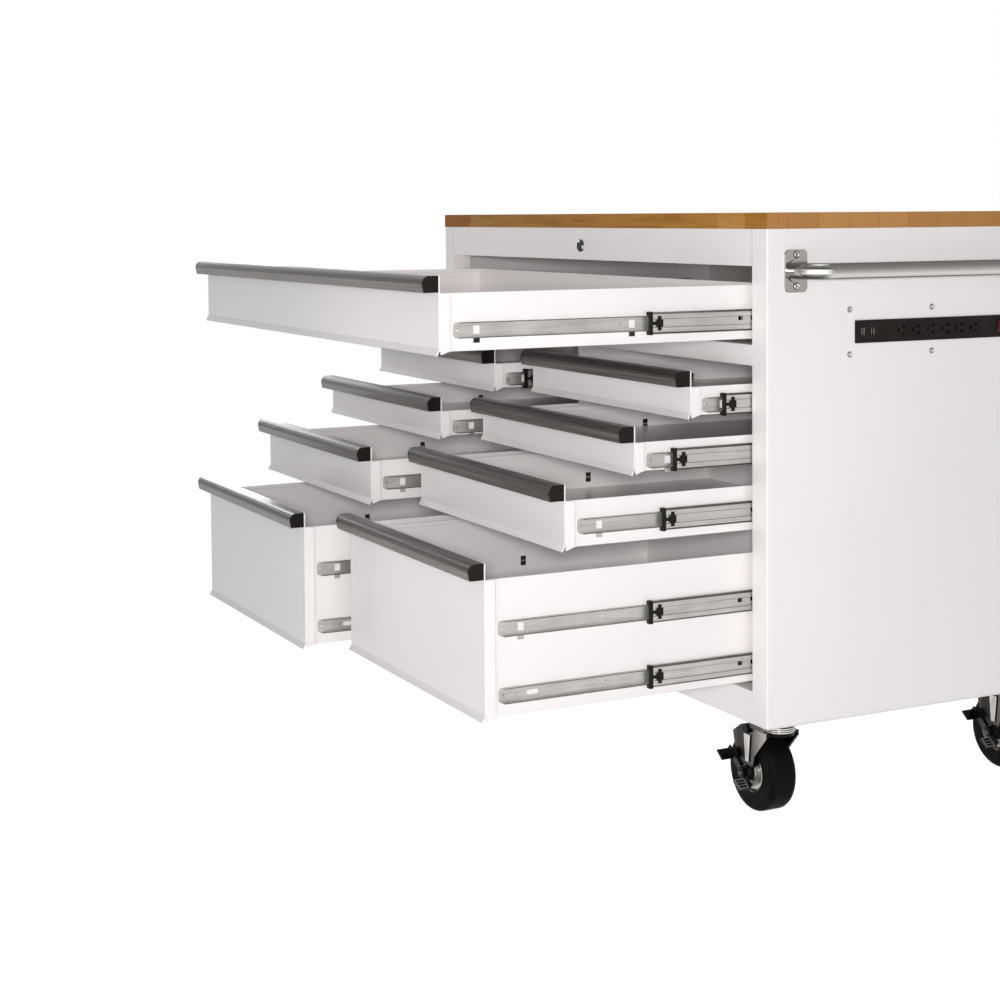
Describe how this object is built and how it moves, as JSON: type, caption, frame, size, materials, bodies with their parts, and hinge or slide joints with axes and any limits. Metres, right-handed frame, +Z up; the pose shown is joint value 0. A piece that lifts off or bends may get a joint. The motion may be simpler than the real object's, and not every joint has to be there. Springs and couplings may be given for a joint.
{
  "type": "workbench with drawers",
  "caption": "Mobile sheet-steel tool workbench with a wooden top, full-extension drawers with long grips, a side push bar, a power strip and locking casters.",
  "frame": {"origin": "on the floor, under the middle of the cabinet's footprint", "axes": "+X right along the drawer side, +Y from the drawer side to the back, +Z up"},
  "size_m": [1.2396, 1.174, 0.9523],
  "materials": {
    "wood_top": "oiled, laminated staves",
    "white_paint": "gloss powder coat",
    "handle_aluminium": "brushed, dark anodised, with black end caps",
    "slide_steel": "zinc plated, with black plastic stops",
    "bar_chrome": "polished",
    "lock_chrome": "polished",
    "strip_plastic": "satin",
    "switch_plastic": "gloss",
    "caster_zinc": "bright zinc",
    "pedal_steel": "black oxide",
    "tyre_rubber": "satin, with a zinc hub"
  },
  "bodies": {
    "cabinet": {"worktop": "wood_top", "left_side_panel": "white_paint", "right_side_panel": "white_paint", "back_panel": "white_paint", "floor_panel": "white_paint", "front_fascia": "white_paint", "mid_rail": "white_paint", "center_divider": "white_paint", "lock_barrel": "lock_chrome", "push_bar": "bar_chrome", "power_strip": "strip_plastic", "swivel_caster_plates": "caster_zinc", "rigid_caster_forks": "caster_zinc", "slide_outer_members": "slide_steel"},
    "drawer_top": {"drawer_top_box": "white_paint", "drawer_top_handle": "handle_aluminium", "drawer_top_runners": "slide_steel"},
    "drawer_top_slide_carriages": {"drawer_top_carriages": "slide_steel"},
    "drawer_left_1": {"drawer_left_1_box": "white_paint", "drawer_left_1_handle": "handle_aluminium", "drawer_left_1_runners": "slide_steel"},
    "drawer_left_1_slide_carriages": {"drawer_left_1_carriages": "slide_steel"},
    "drawer_left_2": {"drawer_left_2_box": "white_paint", "drawer_left_2_handle": "handle_aluminium", "drawer_left_2_runners": "slide_steel"},
    "drawer_left_2_slide_carriages": {"drawer_left_2_carriages": "slide_steel"},
    "drawer_left_3": {"drawer_left_3_box": "white_paint", "drawer_left_3_handle": "handle_aluminium", "drawer_left_3_runners": "slide_steel"},
    "drawer_left_3_slide_carriages": {"drawer_left_3_carriages": "slide_steel"},
    "drawer_left_4": {"drawer_left_4_box": "white_paint", "drawer_left_4_handle": "handle_aluminium", "drawer_left_4_runners": "slide_steel"},
    "drawer_left_4_slide_carriages": {"drawer_left_4_carriages": "slide_steel"},
    "drawer_right_1": {"drawer_right_1_box": "white_paint", "drawer_right_1_handle": "handle_aluminium", "drawer_right_1_runners": "slide_steel"},
    "drawer_right_1_slide_carriages": {"drawer_right_1_carriages": "slide_steel"},
    "drawer_right_2": {"drawer_right_2_box": "white_paint", "drawer_right_2_handle": "handle_aluminium", "drawer_right_2_runners": "slide_steel"},
    "drawer_right_2_slide_carriages": {"drawer_right_2_carriages": "slide_steel"},
    "drawer_right_3": {"drawer_right_3_box": "white_paint", "drawer_right_3_handle": "handle_aluminium", "drawer_right_3_runners": "slide_steel"},
    "drawer_right_3_slide_carriages": {"drawer_right_3_carriages": "slide_steel"},
    "drawer_right_4": {"drawer_right_4_box": "white_paint", "drawer_right_4_handle": "handle_aluminium", "drawer_right_4_runners": "slide_steel"},
    "drawer_right_4_slide_carriages": {"drawer_right_4_carriages": "slide_steel"},
    "lock_plug": {"lock_plug": "lock_chrome"},
    "power_switch": {"power_switch": "switch_plastic"},
    "swivel_caster_front": {"swivel_fork_front": "caster_zinc"},
    "brake_lever_front": {"brake_lever_front": "pedal_steel"},
    "wheel_right_front": {"wheel_right_front": "tyre_rubber"},
    "wheel_left_front": {"wheel_left_front": "tyre_rubber"},
    "swivel_caster_rear": {"swivel_fork_rear": "caster_zinc"},
    "brake_lever_rear": {"brake_lever_rear": "pedal_steel"},
    "wheel_right_rear": {"wheel_right_rear": "tyre_rubber"},
    "wheel_left_rear": {"wheel_left_rear": "tyre_rubber"}
  },
  "joints": [
    {"name": "drawer_top_slide", "type": "slide", "parent": "cabinet", "child": "drawer_top", "axis": [0, -1, 0], "range_m": [-0.526, 0.009]},
    {"name": "drawer_top_carriage_slide", "type": "slide", "parent": "cabinet", "child": "drawer_top_slide_carriages", "axis": [0, -1, 0], "range_m": [-0.20729, 0.0036]},
    {"name": "drawer_left_1_slide", "type": "slide", "parent": "cabinet", "child": "drawer_left_1", "axis": [0, -1, 0], "range_m": [-0.166, 0.369]},
    {"name": "drawer_left_1_carriage_slide", "type": "slide", "parent": "cabinet", "child": "drawer_left_1_slide_carriages", "axis": [0, -1, 0], "range_m": [-0.13285, 0.29525]},
    {"name": "drawer_left_2_slide", "type": "slide", "parent": "cabinet", "child": "drawer_left_2", "axis": [0, -1, 0], "range_m": [-0.271, 0.264]},
    {"name": "drawer_left_2_carriage_slide", "type": "slide", "parent": "cabinet", "child": "drawer_left_2_slide_carriages", "axis": [0, -1, 0], "range_m": [-0.122, 0.11885]},
    {"name": "drawer_left_3_slide", "type": "slide", "parent": "cabinet", "child": "drawer_left_3", "axis": [0, -1, 0], "range_m": [-0.404, 0.131]},
    {"name": "drawer_left_3_carriage_slide", "type": "slide", "parent": "cabinet", "child": "drawer_left_3_slide_carriages", "axis": [0, -1, 0], "range_m": [-0.18185, 0.059]},
    {"name": "drawer_left_4_slide", "type": "slide", "parent": "cabinet", "child": "drawer_left_4", "axis": [0, -1, 0], "range_m": [-0.527, 0.008]},
    {"name": "drawer_left_4_carriage_slide", "type": "slide", "parent": "cabinet", "child": "drawer_left_4_slide_carriages", "axis": [0, -1, 0], "range_m": [-0.2372, 0.00365]},
    {"name": "drawer_right_1_slide", "type": "slide", "parent": "cabinet", "child": "drawer_right_1", "axis": [0, -1, 0], "range_m": [-0.108, 0.427]},
    {"name": "drawer_right_1_carriage_slide", "type": "slide", "parent": "cabinet", "child": "drawer_right_1_slide_carriages", "axis": [0, -1, 0], "range_m": [-0.07673, 0.30322]},
    {"name": "drawer_right_2_slide", "type": "slide", "parent": "cabinet", "child": "drawer_right_2", "axis": [0, -1, 0], "range_m": [-0.207, 0.328]},
    {"name": "drawer_right_2_carriage_slide", "type": "slide", "parent": "cabinet", "child": "drawer_right_2_slide_carriages", "axis": [0, -1, 0], "range_m": [-0.16565, 0.26245]},
    {"name": "drawer_right_3_slide", "type": "slide", "parent": "cabinet", "child": "drawer_right_3", "axis": [0, -1, 0], "range_m": [-0.326, 0.209]},
    {"name": "drawer_right_3_carriage_slide", "type": "slide", "parent": "cabinet", "child": "drawer_right_3_slide_carriages", "axis": [0, -1, 0], "range_m": [-0.18522, 0.11876]},
    {"name": "drawer_right_4_slide", "type": "slide", "parent": "cabinet", "child": "drawer_right_4", "axis": [0, -1, 0], "range_m": [-0.458, 0.077]},
    {"name": "drawer_right_4_carriage_slide", "type": "slide", "parent": "cabinet", "child": "drawer_right_4_slide_carriages", "axis": [0, -1, 0], "range_m": [-0.20867, 0.03512]},
    {"name": "lock_turn", "type": "hinge", "parent": "cabinet", "child": "lock_plug", "pos_m": [0, -0.311, 0.8953], "axis": [0, -1, 0], "range_deg": [0, 90]},
    {"name": "switch_rock", "type": "hinge", "parent": "cabinet", "child": "power_switch", "pos_m": [0.5822, 0.1446, 0.7656], "axis": [0, -1, 0], "range_deg": [0, 16]},
    {"name": "caster_swivel_front", "type": "hinge", "parent": "cabinet", "child": "swivel_caster_front", "pos_m": [0.5292, -0.251, 0.132], "axis": [0, 0, 1], "continuous": true},
    {"name": "wheel_spin_right_front", "type": "hinge", "parent": "swivel_caster_front", "child": "wheel_right_front", "pos_m": [0.4842, -0.251, 0.0635], "axis": [0, 1, 0], "continuous": true},
    {"name": "wheel_spin_left_front", "type": "hinge", "parent": "cabinet", "child": "wheel_left_front", "pos_m": [-0.5292, -0.251, 0.0635], "axis": [0, 1, 0], "continuous": true},
    {"name": "brake_press_front", "type": "hinge", "parent": "swivel_caster_front", "child": "brake_lever_front", "pos_m": [0.4842, -0.251, 0.0635], "axis": [0, -1, 0], "range_deg": [0, 20]},
    {"name": "caster_swivel_rear", "type": "hinge", "parent": "cabinet", "child": "swivel_caster_rear", "pos_m": [0.5292, 0.251, 0.132], "axis": [0, 0, 1], "continuous": true},
    {"name": "wheel_spin_right_rear", "type": "hinge", "parent": "swivel_caster_rear", "child": "wheel_right_rear", "pos_m": [0.4842, 0.251, 0.0635], "axis": [0, 1, 0], "continuous": true},
    {"name": "wheel_spin_left_rear", "type": "hinge", "parent": "cabinet", "child": "wheel_left_rear", "pos_m": [-0.5292, 0.251, 0.0635], "axis": [0, 1, 0], "continuous": true},
    {"name": "brake_press_rear", "type": "hinge", "parent": "swivel_caster_rear", "child": "brake_lever_rear", "pos_m": [0.4842, 0.251, 0.0635], "axis": [0, -1, 0], "range_deg": [0, 20]}
  ],
  "couplings": [
    {"joint": "drawer_top_carriage_slide", "follows": "drawer_top_slide", "ratio": 0.394},
    {"joint": "drawer_left_1_carriage_slide", "follows": "drawer_left_1_slide", "ratio": 0.8},
    {"joint": "drawer_left_2_carriage_slide", "follows": "drawer_left_2_slide", "ratio": 0.45},
    {"joint": "drawer_left_3_carriage_slide", "follows": "drawer_left_3_slide", "ratio": 0.45},
    {"joint": "drawer_left_4_carriage_slide", "follows": "drawer_left_4_slide", "ratio": 0.45},
    {"joint": "drawer_right_1_carriage_slide", "follows": "drawer_right_1_slide", "ratio": 0.71},
    {"joint": "drawer_right_2_carriage_slide", "follows": "drawer_right_2_slide", "ratio": 0.8},
    {"joint": "drawer_right_3_carriage_slide", "follows": "drawer_right_3_slide", "ratio": 0.568},
    {"joint": "drawer_right_4_carriage_slide", "follows": "drawer_right_4_slide", "ratio": 0.4555}
  ]
}
